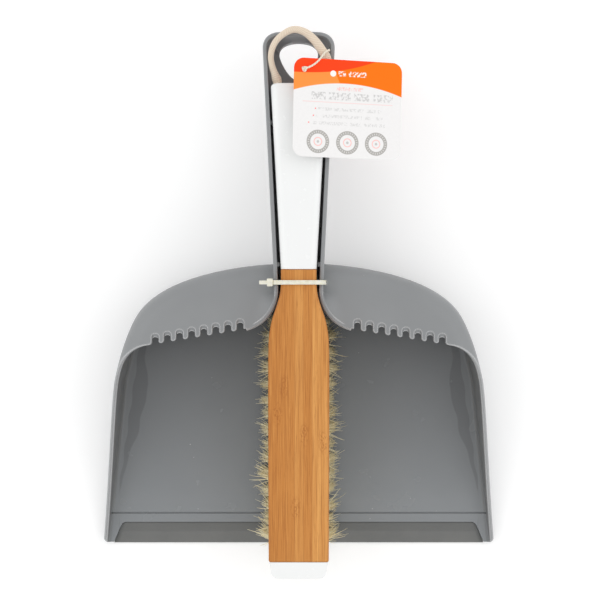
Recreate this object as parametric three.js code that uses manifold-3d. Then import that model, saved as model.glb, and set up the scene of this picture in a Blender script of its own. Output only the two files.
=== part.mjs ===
// Dustpan and brush set: a hooded plastic dustpan with a soft front lip, and a
// bamboo-backed hand brush that lies in the channel of the pan's handle.
// Millimetres, +Z up. The pan lies on the floor at z = 0 and its handle points along +Y.
import * as THREE from 'three';
import { mergeVertices } from 'three/addons/utils/BufferGeometryUtils.js';
import Module from 'manifold-3d';

const wasm = await Module();
wasm.setup();

// ---- driving dimensions ---------------------------------------------------

const GAP = 0.3; // clearance between pieces that touch
const FAR = 200; // reach of a cutting block past the object

// dustpan
const PAN_FRONT = -150;
const PAN_WALL = 2.6;
const PAN_FLOOR = 3.2;
const HOOD_TOP = 50;
const HOOD_ROUND = 12;
const FLOOR_STEP_Y = -131.2;
const FLOOR_STEP_TOP = 2.4;

// channel handle of the pan
const CHANNEL_TOP = 60;
const CHANNEL_FLOOR_TOP = 41.7;
const CHANNEL_FLOOR = 2.5;
const CHANNEL_WALL = 2.4;
const RIB_THICK = 2.4;
const RIB_TOP = 56;
const CHANNEL_END = 163;
const NECK_Y = 8.8; // narrowest place of the channel
const NECK_HALF = 12.1;
const CHANNEL_END_HALF = 19.1;
const CHANNEL_CORNER = 8;

// comb in the hood's front edge
const COMB_TEETH = 7;
const COMB_SLOTS = COMB_TEETH + 1;
const COMB_INNER = new THREE.Vector2(31.4, -15.5);
const COMB_OUTER = new THREE.Vector2(89.8, -24.4);
const COMB_SLOT_WIDTH = 3.8;
const COMB_SLOT_DEPTH = 5.6;

// soft lip
const LIP_REAR = -137.6;
const LIP_FRONT = -150.8;
const LIP_REAR_HALF = 111.5;
const LIP_FRONT_HALF = 117;
const LIP_THICK = 2.4;

// brush
const BRUSH_TOP = 64;
const BRUSH_NECK_HALF = 10.65;
const BRUSH_HANDLE_BOTTOM = 44;
const BRUSH_BASE_BOTTOM = 42;
const BRUSH_BASE_TOP = 50;
const BRUSH_HANDLE_END = 131.7;
const BAMBOO_REAR = 21.3;
const BAMBOO_FRONT = -152.7;
const BRUSH_FRONT = -163;
const SCREW_YS = [-8, -72, -138];
const SCREW_HEAD_RADIUS = 3.2;
const SCREW_HEAD_HEIGHT = 1.6;

// bristle tufts
const TUFT_PITCH = 9.4;
const TUFT_ROW_COUNT = 15;
const TUFT_REAR_Y = -11;
const TUFT_OUTER_X = 13.6;
const TUFT_TOP = BRUSH_BASE_BOTTOM - GAP;
const TUFT_BOTTOM = 5.5;
const TUFT_TOP_RADIUS = 2.4;
const TUFT_TIP_RADIUS = 3.6;
const TUFT_SPLAY = 8;
const END_TUFT_SPLAY = 1.6;

// hanging rope, tag and tie
const ROPE_DIAMETER = 4.8;
const STRING_DIAMETER = 1.2;
const TAG_WIDTH = 66.6;
const TAG_HEIGHT = 58.2;
const TAG_THICK = 0.6;
const TAG_CORNER = 6;
const TAG_HOLE_RADIUS = 1.6;
const TAG_HOLE_INSET = new THREE.Vector2(6.3, 6.6);
const TAG_DROOP = THREE.MathUtils.degToRad(14.5);
const TAG_TURN = THREE.MathUtils.degToRad(-1.2);
const TAG_CENTRE = new THREE.Vector3(29, 115.9, 63.6);
const TIE_Y = 13.2;
const TIE_WIDTH = 2.6;
const TIE_THICK = 1.1;
const TIE_LEG_X = 16;
const TIE_LEG_END = 37.2;

// ---- materials ------------------------------------------------------------

const paint = (color, roughness, metalness = 0) =>
  new THREE.MeshStandardMaterial({ color, roughness, metalness });

const GREY_PLASTIC = paint(0x919394, 0.42);
const SOFT_LIP = paint(0x70716f, 0.75);
const WHITE_PLASTIC = paint(0xf2f2ef, 0.28);
const BAMBOO = paint(0xd49b5c, 0.5);
const BRISTLE = paint(0xd8cba0, 0.85);
const COTTON = paint(0xe6d3b8, 0.9);
const CARD = paint(0xf3f1f0, 0.6);
const NYLON = paint(0xdcd8c2, 0.35);
const STEEL = paint(0xb8babc, 0.3, 1);

// ---- helpers --------------------------------------------------------------

// A closed three.js geometry as a manifold solid.
function solid(geometry) {
  const bare = geometry.clone();
  bare.deleteAttribute('normal');
  bare.deleteAttribute('uv');
  const merged = mergeVertices(bare, 1e-4);
  const mesh = new wasm.Mesh({
    numProp: 3,
    vertProperties: new Float32Array(merged.attributes.position.array),
    triVerts: new Uint32Array(merged.index.array),
  });
  return new wasm.Manifold(mesh);
}

// A manifold solid back as a three.js geometry.
function geometryOf(manifold) {
  const mesh = manifold.getMesh();
  const geometry = new THREE.BufferGeometry();
  geometry.setAttribute('position', new THREE.BufferAttribute(mesh.vertProperties, 3));
  geometry.setIndex(new THREE.BufferAttribute(mesh.triVerts, 1));
  geometry.computeVertexNormals();
  return geometry;
}

const at = (x, y) => new THREE.Vector2(x, y);

// A closed outline from the points of its right half, the left half being its mirror image.
function mirrored(right) {
  const left = right
    .filter((p) => p.x > 1e-6)
    .map((p) => at(-p.x, p.y))
    .reverse();
  return new THREE.Shape([...right, ...left]);
}

// An upright prism of a plan outline between two heights.
function prism(shape, low, high) {
  const geometry = new THREE.ExtrudeGeometry(shape, { depth: high - low, bevelEnabled: false });
  return geometry.translate(0, 0, low);
}

// An upright prism whose upper and lower edges are rounded. The outline is first moved in by inset.
function roundedPrism(shape, low, high, round, segments, inset = 0) {
  const geometry = new THREE.ExtrudeGeometry(shape, {
    depth: high - low - 2 * round,
    bevelThickness: round,
    bevelSize: round,
    bevelOffset: -round - inset,
    bevelSegments: segments,
  });
  return geometry.translate(0, 0, low + round);
}

// A prism along X of an outline whose x is the row's Y and whose y is the row's Z.
function sidePrism(shape, halfWidth) {
  const geometry = new THREE.ExtrudeGeometry(shape, { depth: 2 * halfWidth, bevelEnabled: false });
  const turn = new THREE.Matrix4().makeBasis(
    new THREE.Vector3(0, 1, 0),
    new THREE.Vector3(0, 0, 1),
    new THREE.Vector3(1, 0, 0),
  );
  return geometry.applyMatrix4(turn).translate(-halfWidth, 0, 0);
}

// A prism along Y of an outline whose x is the row's X and whose y is the row's Z.
function frontPrism(shape, y, width) {
  const geometry = new THREE.ExtrudeGeometry(shape, { depth: width, bevelEnabled: false });
  return geometry.rotateX(Math.PI / 2).translate(0, y + width / 2, 0);
}

function block(x0, x1, y0, y1, z0, z1) {
  const geometry = new THREE.BoxGeometry(x1 - x0, y1 - y0, z1 - z0);
  return geometry.translate((x0 + x1) / 2, (y0 + y1) / 2, (z0 + z1) / 2);
}

// The line of points moved sideways by a distance, to the right of its direction.
function offsetLine(points, distance) {
  return points.map((point, i) => {
    const before = points[Math.max(i - 1, 0)];
    const after = points[Math.min(i + 1, points.length - 1)];
    const along = after.clone().sub(before).normalize();
    return at(point.x + along.y * distance, point.y - along.x * distance);
  });
}

// A tube of round section along a smooth curve.
function tube(points, diameter, sides, steps) {
  const section = new THREE.Shape();
  section.absarc(0, 0, diameter / 2, 0, 2 * Math.PI);
  const path = new THREE.CatmullRomCurve3(points, false, 'centripetal');
  return new THREE.ExtrudeGeometry(new THREE.Shape(section.getSpacedPoints(sides).slice(0, sides)), {
    steps,
    extrudePath: path,
    bevelEnabled: false,
  });
}

const group = new THREE.Group();

function add(name, geometry, material) {
  const mesh = new THREE.Mesh(geometry, material);
  mesh.name = name;
  group.add(mesh);
  return mesh;
}

// ---- dustpan --------------------------------------------------------------

// Right half of the pan's outline, from the back middle to past its front.
function panOutline() {
  const path = new THREE.Path();
  path.moveTo(0, 25);
  path.lineTo(16, 24.7);
  path.bezierCurveTo(48, 22.5, 83, 14.5, 97, -4.2);
  path.bezierCurveTo(103, -12.2, 109.5, -31, 112.5, -48);
  path.lineTo(128, -FAR);
  return mirrored([...path.getPoints(12), at(0, -FAR)]);
}

// Right half of the bell-shaped mouth of the channel, from the comb to the neck.
function bellLine() {
  const bell = new THREE.Path();
  bell.moveTo(COMB_INNER.x, COMB_INNER.y);
  bell.bezierCurveTo(18, -11.5, NECK_HALF, -1, NECK_HALF, NECK_Y);
  return bell.getPoints(10);
}

// Right half of the inner side of the channel, from the neck to the middle of its rounded end.
function channelLine() {
  const end = CHANNEL_END - CHANNEL_WALL;
  const path = new THREE.Path();
  path.moveTo(NECK_HALF, NECK_Y);
  path.lineTo(CHANNEL_END_HALF, end - CHANNEL_CORNER);
  path.quadraticCurveTo(CHANNEL_END_HALF, end - 1, CHANNEL_END_HALF - CHANNEL_CORNER, end - 0.4);
  path.lineTo(0, end);
  return path.getPoints(6);
}

// The opening of the hood seen from above: comb edge, its rounded ends and the bell.
function hoodOpening() {
  const edge = new THREE.Path();
  edge.moveTo(109, -46);
  edge.bezierCurveTo(109, -34, 101, -27, COMB_OUTER.x, COMB_OUTER.y);
  return mirrored([
    at(0, NECK_Y),
    ...bellLine().reverse(),
    ...edge.getPoints(8).reverse(),
    at(0, -46),
  ]);
}

// Everything above the sloping rims of the side walls.
function aboveRims() {
  const side = new THREE.Shape();
  side.moveTo(-45, 46.3);
  side.bezierCurveTo(-88, 36, -115, 14, PAN_FRONT - 1, 9);
  side.lineTo(-FAR, 9);
  side.lineTo(-FAR, 90);
  side.lineTo(-45, 90);
  return solid(sidePrism(new THREE.Shape(side.getPoints(14)), FAR));
}

// The pan's front corners, cut to a small round.
function frontCrop() {
  const right = [at(0, PAN_FRONT), at(119.6, PAN_FRONT), at(121.4, -149.3), at(122.4, -147.6)];
  return solid(prism(mirrored([...right, at(140, 40), at(0, 40)]), -1, 80));
}

function hoodAndTray() {
  const outline = panOutline();
  const outside = solid(roundedPrism(outline, -40, HOOD_TOP, HOOD_ROUND, 5));
  const insideRound = HOOD_ROUND - PAN_WALL;
  const inside = solid(
    roundedPrism(outline, -40, HOOD_TOP - PAN_WALL, insideRound, 5, PAN_WALL),
  );
  const aboveGround = solid(block(-FAR, FAR, -FAR - 9, FAR, 0, 90));
  const aboveFloor = solid(block(-FAR, FAR, -FAR - 9, FAR, PAN_FLOOR, 90));
  return outside
    .intersect(aboveGround)
    .subtract(inside.intersect(aboveFloor))
    .subtract(aboveRims())
    .subtract(solid(prism(hoodOpening(), 30, 90)))
    .intersect(frontCrop());
}

// Outer and inner outlines of the channel, from the neck to its rounded end.
function channel() {
  const inner = channelLine();
  const bell = bellLine();
  const outer = offsetLine([...bell, ...inner.slice(1)], CHANNEL_WALL).slice(bell.length - 1);
  outer[outer.length - 1].x = 0;
  const outerShape = mirrored([at(0, NECK_Y), at(NECK_HALF, NECK_Y), ...outer]);
  const innerShape = mirrored([at(0, NECK_Y - 1), at(NECK_HALF, NECK_Y - 1), ...inner]);
  return { outerShape, innerShape };
}

function bellLips() {
  const inner = bellLine();
  const outer = offsetLine([...inner, ...channelLine().slice(1, 2)], CHANNEL_WALL).slice(0, -1);
  const outline = new THREE.Shape([...inner, ...outer.reverse()]);
  const right = solid(prism(outline, HOOD_TOP - PAN_WALL, CHANNEL_TOP));
  const left = right.mirror([1, 0, 0]);
  const slope = new THREE.Shape([
    at(NECK_Y + 1, CHANNEL_TOP + 0.01),
    at(NECK_Y - 1, CHANNEL_TOP),
    at(2, 58.4),
    at(-7, 53.2),
    at(-14, 50.2),
    at(-40, HOOD_TOP),
    at(-40, 90),
    at(NECK_Y + 1, 90),
  ]);
  return right.add(left).subtract(solid(sidePrism(slope, FAR)));
}

// Cross ribs in the channel, cut out in a U for the brush's handle.
function channelRib(y, brushHalf) {
  const wallHalf = NECK_HALF + ((y - NECK_Y) * (CHANNEL_END_HALF - NECK_HALF)) / 146 + 1;
  const rib = block(-wallHalf, wallHalf, y, y + RIB_THICK, CHANNEL_FLOOR_TOP - 1, RIB_TOP);
  const hollow = brushHalf + 0.7;
  const space = block(-hollow, hollow, y - 1, y + RIB_THICK + 1, BRUSH_HANDLE_BOTTOM - 0.5, 90);
  return solid(rib).subtract(solid(space));
}

function combSlots() {
  const slots = [];
  const along = COMB_OUTER.clone().sub(COMB_INNER);
  for (let i = 0; i < COMB_SLOTS; i++) {
    const middle = COMB_INNER.clone().addScaledVector(along, (i + 0.54) / COMB_SLOTS);
    const depth = COMB_SLOT_DEPTH - (i * 1.2) / COMB_SLOTS;
    const radius = COMB_SLOT_WIDTH / 2;
    const slot = new THREE.Shape();
    slot.moveTo(-radius, -12);
    slot.lineTo(radius, -12);
    slot.lineTo(radius, depth - radius);
    slot.absarc(0, depth - radius, radius, 0, Math.PI);
    const cutter = solid(prism(new THREE.Shape(slot.getPoints(4)), 30, 70));
    slots.push(cutter.translate([middle.x, middle.y, 0]));
    slots.push(cutter.translate([-middle.x, middle.y, 0]));
  }
  return slots;
}

// The hanging hole, a shield with its point towards the pan.
function hangHole() {
  const path = new THREE.Path();
  path.moveTo(0, 135.8);
  path.bezierCurveTo(5.5, 136.2, 10.6, 146, 11.6, 150.4);
  path.bezierCurveTo(12.6, 156.4, 6, 158.6, 0, 158.6);
  return solid(prism(mirrored(path.getPoints(8)), 30, 44));
}

// The cut-out in the pan's floor that the soft lip lies in.
function lipSeat() {
  const end = offsetLine(lipEnd(), 1.4 * GAP);
  const outline = mirrored([at(0, -FAR), at(end[0].x, -FAR), ...end, at(0, LIP_REAR + GAP)]);
  return solid(prism(outline, -1, 8.5));
}

function dustpan() {
  const { outerShape, innerShape } = channel();
  const channelBody = solid(prism(outerShape, CHANNEL_FLOOR_TOP - CHANNEL_FLOOR, CHANNEL_TOP));
  const channelSpace = solid(prism(innerShape, CHANNEL_FLOOR_TOP, 90));
  let pan = hoodAndTray().subtract(channelSpace);
  pan = pan.add(channelBody.subtract(channelSpace));
  pan = pan.add(bellLips());
  pan = pan.add(channelRib(22.8, 10.7)).add(channelRib(107.8, 15.4));
  for (const slot of combSlots()) {
    pan = pan.subtract(slot);
  }
  for (const side of [-1, 1]) {
    const x = side * (TIE_LEG_X + 0.1);
    pan = pan.subtract(solid(block(x - 1, x + 1, TIE_Y - 1.8, TIE_Y + 1.8, 43, 90)));
  }
  const step = block(-118, 118, -FAR, FLOOR_STEP_Y, FLOOR_STEP_TOP, 8.5);
  return pan.subtract(hangHole()).subtract(solid(step)).subtract(lipSeat());
}

// ---- soft lip -------------------------------------------------------------

// The lip's slanting right end, from its front corner to its rear one.
function lipEnd() {
  return [
    at(LIP_FRONT_HALF, LIP_FRONT + 2.4),
    at(LIP_REAR_HALF + 1, LIP_REAR - 0.8),
    at(LIP_REAR_HALF, LIP_REAR),
  ];
}

// A wedge strip with slanting rounded ends, thinner at its front edge.
function softLip() {
  const right = [
    at(0, LIP_FRONT),
    at(LIP_FRONT_HALF - 1.5, LIP_FRONT + 0.6),
    ...lipEnd(),
    at(0, LIP_REAR),
  ];
  const profile = new THREE.Shape([
    at(LIP_FRONT - 1, 0),
    at(LIP_REAR + 1, 0),
    at(LIP_REAR + 1, LIP_THICK),
    at(-143, LIP_THICK),
    at(-143.6, 2),
    at(LIP_FRONT - 1, 0.9),
  ]);
  return solid(prism(mirrored(right), -1, 5)).intersect(solid(sidePrism(profile, FAR)));
}

// ---- brush ----------------------------------------------------------------

// Right half of the brush's outline from the front end of the bamboo to the white handle.
function brushSide() {
  return [
    at(17.9, BAMBOO_FRONT),
    at(18.2, -48),
    at(17.8, -18.5),
    at(15.8, -8.4),
    at(13.4, -1.6),
    at(11.1, 6),
    at(BRUSH_NECK_HALF, 12),
  ];
}

function brushHandle() {
  const sides = mirrored([
    at(0, BAMBOO_REAR),
    at(BRUSH_NECK_HALF, BAMBOO_REAR),
    at(16.9, BRUSH_HANDLE_END + 3),
    at(0, BRUSH_HANDLE_END + 3),
  ]);
  const end = new THREE.Path();
  end.moveTo(18, BAMBOO_REAR - 1);
  end.lineTo(18, BRUSH_HANDLE_END - 6);
  end.quadraticCurveTo(17, BRUSH_HANDLE_END - 0.6, 13, BRUSH_HANDLE_END - 0.3);
  end.lineTo(0, BRUSH_HANDLE_END);
  const crop = mirrored([at(0, BAMBOO_REAR - 1), ...end.getPoints(5)]);
  const bar = solid(roundedPrism(sides, BRUSH_HANDLE_BOTTOM, BRUSH_TOP, 4, 3));
  return bar.intersect(solid(prism(crop, 0, 90)));
}

function brushBody() {
  const base = mirrored([
    at(0, BRUSH_FRONT + 1),
    at(14.5, BRUSH_FRONT + 1),
    at(16.2, BRUSH_FRONT + 3),
    ...brushSide(),
    at(BRUSH_NECK_HALF, BAMBOO_REAR + 1.2),
    at(0, BAMBOO_REAR + 1.2),
  ]);
  const tip = mirrored([
    at(0, BRUSH_FRONT),
    at(12.5, BRUSH_FRONT + 0.2),
    at(15.6, BRUSH_FRONT + 1.6),
    at(16.5, BRUSH_FRONT + 4),
    at(17.3, BAMBOO_FRONT),
    at(0, BAMBOO_FRONT),
  ]);
  const baseSolid = solid(roundedPrism(base, BRUSH_BASE_BOTTOM, BRUSH_BASE_TOP + 1.2, 1.2, 2));
  const baseCrop = solid(block(-FAR, FAR, -FAR, FAR, 0, BRUSH_BASE_TOP));
  const tipSolid = solid(roundedPrism(tip, BRUSH_BASE_BOTTOM, BRUSH_TOP, 1.5, 2));
  const tipCrop = solid(block(-FAR, FAR, -FAR, BAMBOO_FRONT - 0.4, 0, BRUSH_TOP));
  let body = baseSolid.intersect(baseCrop).add(tipSolid.intersect(tipCrop));
  const handleCrop = solid(block(-FAR, FAR, BAMBOO_REAR, FAR, 0, 90));
  body = body.add(brushHandle().intersect(handleCrop));
  for (const y of SCREW_YS) {
    const radius = SCREW_HEAD_RADIUS + GAP;
    const sink = new THREE.CylinderGeometry(radius, radius, 2 * (SCREW_HEAD_HEIGHT + GAP), 12);
    sink.rotateX(Math.PI / 2).translate(0, y, BRUSH_BASE_BOTTOM);
    body = body.subtract(solid(sink));
  }
  return body;
}

function bambooBack() {
  const outline = mirrored([
    at(0, BAMBOO_FRONT - 0.2),
    ...brushSide(),
    at(BRUSH_NECK_HALF, BAMBOO_REAR - GAP),
    at(0, BAMBOO_REAR - GAP),
  ]);
  const low = BRUSH_BASE_TOP + GAP;
  const crop = block(-FAR, FAR, -FAR, FAR, low, 90);
  return solid(roundedPrism(outline, low - 2, BRUSH_TOP, 1.6, 2)).intersect(solid(crop));
}

// A countersunk cross-head screw that holds the bamboo to the plastic base.
function screw(y) {
  const head = new THREE.CylinderGeometry(SCREW_HEAD_RADIUS, SCREW_HEAD_RADIUS, SCREW_HEAD_HEIGHT, 12);
  head.rotateX(Math.PI / 2);
  const slotTop = 0.8 - SCREW_HEAD_HEIGHT / 2;
  const crossbar = solid(block(-1.8, 1.8, -0.4, 0.4, -FAR, slotTop));
  const upright = solid(block(-0.4, 0.4, -1.8, 1.8, -FAR, slotTop));
  const body = solid(head).subtract(crossbar).subtract(upright);
  return body.translate([0, y, BRUSH_BASE_BOTTOM + SCREW_HEAD_HEIGHT / 2]);
}

// One tuft: a tapered bundle that widens and leans towards its tips.
function tuft(x, y, lean) {
  const sides = 6;
  const height = TUFT_TOP - TUFT_BOTTOM;
  const geometry = new THREE.CylinderGeometry(TUFT_TOP_RADIUS, TUFT_TIP_RADIUS, height, sides);
  geometry.rotateX(Math.PI / 2);
  geometry.translate(0, 0, (TUFT_TOP + TUFT_BOTTOM) / 2);
  const position = geometry.attributes.position;
  for (let i = 0; i < position.count; i++) {
    const down = (TUFT_TOP - position.getZ(i)) / height;
    position.setX(i, position.getX(i) + x + lean * down);
    position.setY(i, position.getY(i) + y);
  }
  return geometry;
}

// ---- rope, string, tag and tie --------------------------------------------

const ROPE_ROUTE = [
  [-12.7, BRUSH_HANDLE_END + 0.5, 56],
  [-12.9, BRUSH_HANDLE_END + 2.5, 56.1],
  [-13.6, 137, 57.2],
  [-15.3, 143, 58.8],
  [-15.6, 149, 61.2],
  [-13.4, 155.5, 63],
  [-9, 160.8, 63.2],
  [-3, 163.4, 63.4],
  [3.5, 161.9, 63.4],
  [9, 157.4, 63.2],
  [13.4, 151.6, 63.2],
  [16.6, 146.2, 63],
  [16.9, 141.5, 62.6],
  [15.4, 137, 59.4],
  [13, BRUSH_HANDLE_END + 2.5, 56.3],
  [12.6, BRUSH_HANDLE_END + 0.5, 56],
];

const STRING_ROUTE = [
  [17.2, 150.9, 66.7],
  [15.2, 147.8, 68.6],
  [11.8, 144.4, 70.3],
  [8, 141.6, 71.2],
  [4.8, 139.1, 71.6],
];

const route = (points) => points.map(([x, y, z]) => new THREE.Vector3(x, y, z));

function tagCard() {
  const w = TAG_WIDTH / 2;
  const h = TAG_HEIGHT / 2;
  const r = TAG_CORNER;
  const card = new THREE.Shape();
  card.absarc(w - r, h - r, r, 0, Math.PI / 2);
  card.absarc(r - w, h - r, r, Math.PI / 2, Math.PI);
  card.absarc(r - w, r - h, r, Math.PI, 1.5 * Math.PI);
  card.absarc(w - r, r - h, r, 1.5 * Math.PI, 2 * Math.PI);
  const hole = new THREE.Path();
  hole.absarc(TAG_HOLE_INSET.x - w, h - TAG_HOLE_INSET.y, TAG_HOLE_RADIUS, 0, 2 * Math.PI);
  card.holes.push(hole);
  return new THREE.ExtrudeGeometry(card, { depth: TAG_THICK, bevelEnabled: false, curveSegments: 5 });
}

function cableTie() {
  const inner = [
    at(TIE_LEG_X - TIE_THICK / 2, TIE_LEG_END),
    at(TIE_LEG_X - TIE_THICK / 2, 60.6),
    at(10.6, BRUSH_TOP + GAP),
    at(0, BRUSH_TOP + GAP + 0.1),
  ];
  const outer = [
    at(TIE_LEG_X + TIE_THICK / 2, TIE_LEG_END),
    at(TIE_LEG_X + TIE_THICK / 2, 61.2),
    at(11, BRUSH_TOP + GAP + TIE_THICK),
    at(0, BRUSH_TOP + GAP + TIE_THICK + 0.1),
  ];
  const strap = solid(frontPrism(mirrored([...outer.reverse(), ...inner]), TIE_Y, TIE_WIDTH));
  const head = solid(block(-19.2, -15.3, TIE_Y - 2.5, TIE_Y + 2.5, 58.2, 63));
  const tail = solid(block(-23.6, -19, TIE_Y - TIE_WIDTH / 2, TIE_Y + TIE_WIDTH / 2, 60.2, 61.3));
  return strap.add(head).add(tail);
}

// ---- assembly -------------------------------------------------------------

add('dustpan', geometryOf(dustpan()), GREY_PLASTIC);
add('soft_lip', geometryOf(softLip()), SOFT_LIP);
add('brush_body', geometryOf(brushBody()), WHITE_PLASTIC);
add('bamboo_back', geometryOf(bambooBack()), BAMBOO);
SCREW_YS.forEach((y, i) => add(`back_screw_${i + 1}`, geometryOf(screw(y)), STEEL));

for (let i = 0; i < TUFT_ROW_COUNT; i++) {
  const y = TUFT_REAR_Y - i * TUFT_PITCH;
  const splay = i === 0 ? END_TUFT_SPLAY : TUFT_SPLAY;
  add(`tuft_left_${i + 1}`, tuft(-TUFT_OUTER_X, y, -splay), BRISTLE);
  add(`tuft_right_${i + 1}`, tuft(TUFT_OUTER_X, y, splay), BRISTLE);
}
for (let i = 0; i < TUFT_ROW_COUNT - 1; i++) {
  const y = TUFT_REAR_Y - (i + 0.5) * TUFT_PITCH;
  add(`tuft_middle_${i + 1}`, tuft(0, y, 0), BRISTLE);
}

add('hang_loop', tube(route(ROPE_ROUTE), ROPE_DIAMETER, 10, 30), COTTON);
add('tag_string', tube(route(STRING_ROUTE), STRING_DIAMETER, 8, 10), COTTON);

const tag = add('swing_tag', tagCard(), CARD);
tag.position.copy(TAG_CENTRE);
tag.rotation.set(0, TAG_DROOP, TAG_TURN);

add('cable_tie', geometryOf(cableTie()), NYLON);

export default group;
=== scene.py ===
"""Looks of the dustpan and brush set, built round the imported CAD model.

The pan lies on the floor, +Y runs towards the handles' end and the camera looks straight
down. Lengths are millimetres, unless a name ends in _m; make_piece turns them into
Blender's metres.
"""
import math
import random

import bpy
import bmesh
import numpy as np
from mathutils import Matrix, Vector


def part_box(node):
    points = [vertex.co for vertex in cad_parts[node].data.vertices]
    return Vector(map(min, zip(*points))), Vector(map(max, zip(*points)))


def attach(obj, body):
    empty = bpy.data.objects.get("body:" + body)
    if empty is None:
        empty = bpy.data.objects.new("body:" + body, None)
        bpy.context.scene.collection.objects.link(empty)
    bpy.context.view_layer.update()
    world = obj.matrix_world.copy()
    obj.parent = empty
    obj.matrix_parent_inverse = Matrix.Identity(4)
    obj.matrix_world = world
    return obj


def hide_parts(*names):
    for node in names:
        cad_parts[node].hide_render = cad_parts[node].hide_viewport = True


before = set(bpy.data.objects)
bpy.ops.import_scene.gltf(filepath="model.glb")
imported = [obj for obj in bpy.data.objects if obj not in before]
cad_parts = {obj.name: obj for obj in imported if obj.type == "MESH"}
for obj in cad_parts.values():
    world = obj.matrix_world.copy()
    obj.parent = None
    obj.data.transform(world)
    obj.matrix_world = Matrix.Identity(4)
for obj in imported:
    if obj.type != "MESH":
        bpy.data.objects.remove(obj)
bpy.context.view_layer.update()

MM = 0.001

# ---------------------------------------------------------------- sizes, from the frame


def node_box(name):
    """Lowest and highest corner of a CAD node, in millimetres."""
    low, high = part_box(name)
    return [c / MM for c in low], [c / MM for c in high]


PAN_LOW, PAN_HIGH = node_box("dustpan")
BRUSH_LOW, BRUSH_HIGH = node_box("brush_body")
BAMBOO_LOW, BAMBOO_HIGH = node_box("bamboo_back")
LIP_LOW, LIP_HIGH = node_box("soft_lip")
SCREWS = ("back_screw_1", "back_screw_2", "back_screw_3")

# dustpan
PAN_FRONT = PAN_LOW[1]
PAN_WALL = 2.5
ROOF_THICK = 1.9
PAN_FLOOR = 3.2
HOOD_TOP = 50.0
HOOD_ROUND = 12.0
CHANNEL_TOP = PAN_HIGH[2]
CHANNEL_END = PAN_HIGH[1]
CHANNEL_FLOOR_TOP = 41.7
CHANNEL_UNDER = 39.2
CHANNEL_WALL = 2.4
NECK_Y = 8.8
NECK_HALF = 12.1
CHANNEL_END_HALF = 19.1
CHANNEL_CORNER = 8.0
RIB_THICK = 2.4
COMB_TEETH = 7
COMB_INNER = (31.4, -15.5)
COMB_OUTER = (89.8, -24.4)
COMB_SLOT = 3.7
COMB_BACK = 0.6  # how far the teeth's line starts behind the bell's end
FLOOR_STEP_Y = -131.2

# brush
BRUSH_TOP = BRUSH_HIGH[2]
BRUSH_UNDER = BRUSH_LOW[2]
BRUSH_BASE_TOP = 50.0
HANDLE_UNDER = 44.0
HANDLE_END = BRUSH_HIGH[1]
HANDLE_START_HALF = 10.65
HANDLE_END_HALF = 16.75
BRUSH_FRONT = BRUSH_LOW[1]
OUTER_TUFT_X = 13.6

# cords, tag, tie
ROPE_DIAMETER = 4.8
STRING_DIAMETER = 1.2
TAG_SIZE = (66.6, 58.2)
TAG_CENTRE = (29.0, 115.9, 63.6)
TAG_DROOP = math.radians(14.5)
TAG_TURN = math.radians(-1.2)
TAG_HOLE = (3.5, 138.9)
TIE_Y = 13.2
TIE_WIDTH = 2.6
TIE_THICK = 1.1
TIE_LEG_X = 16.0
TIE_LEG_END = 37.2

# ---------------------------------------------------------------- camera

CAMERA_HEIGHT_M = 1.0
CAMERA_AIM = (0.76, 2.75)
SEEN_WIDTH = 380.4  # of the floor, from side to side of the picture


def make_camera():
    data = bpy.data.cameras.new("camera")
    data.sensor_width = 36.0
    data.lens = data.sensor_width * CAMERA_HEIGHT_M / (SEEN_WIDTH * MM)
    data.clip_start = 0.01
    camera = bpy.data.objects.new("camera", data)
    camera.location = (CAMERA_AIM[0] * MM, CAMERA_AIM[1] * MM, CAMERA_HEIGHT_M)
    bpy.context.scene.collection.objects.link(camera)
    bpy.context.scene.camera = camera


make_camera()

# ---------------------------------------------------------------- lines and meshes


def smooth_step(value):
    value = min(max(value, 0.0), 1.0)
    return value * value * (3 - 2 * value)


def lerp(a, b, t):
    return a + (b - a) * t


def quarter(steps, first=0):
    """(sine, cosine) of equal steps from 0 to 90 degrees."""
    turns = [k / steps * math.pi / 2 for k in range(first, steps + 1)]
    return [(math.sin(turn), math.cos(turn)) for turn in turns]


def bezier(p0, p1, p2, p3, count):
    """Points of a cubic curve in the plane, its start left out."""
    points = []
    for i in range(1, count + 1):
        t = i / count
        u = 1 - t
        weights = (u**3, 3 * u * u * t, 3 * u * t * t, t**3)
        points.append(tuple(sum(w * p[k] for w, p in zip(weights, (p0, p1, p2, p3))) for k in (0, 1)))
    return points


def line(p0, p1, count):
    """Points of a straight line, its start left out."""
    return [(lerp(p0[0], p1[0], i / count), lerp(p0[1], p1[1], i / count)) for i in range(1, count + 1)]


def mirror_outline(right):
    """A closed outline from its right half, which starts and ends on the middle line."""
    return right + [(-x, y) for x, y in reversed(right) if x > 1e-6]


def directions(points):
    """Unit direction of a line at each of its points."""
    result = []
    for i in range(len(points)):
        ax, ay = points[max(i - 1, 0)]
        bx, by = points[min(i + 1, len(points) - 1)]
        length = math.hypot(bx - ax, by - ay)
        result.append(((bx - ax) / length, (by - ay) / length))
    return result


def offset_line(points, distance):
    """The line moved to the right of its direction."""
    return [(x + ty * distance, y - tx * distance) for (x, y), (tx, ty) in zip(points, directions(points))]


def run_along(points):
    """Distance along a line at each of its points."""
    return np.concatenate([[0], np.cumsum(np.linalg.norm(np.diff(points, axis=0), axis=1))])


def tangents_of(points, *spacing):
    """Unit tangents of a finely divided line."""
    tangents = np.gradient(points, *spacing, axis=0)
    return tangents / np.linalg.norm(tangents, axis=1)[:, None]


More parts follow.
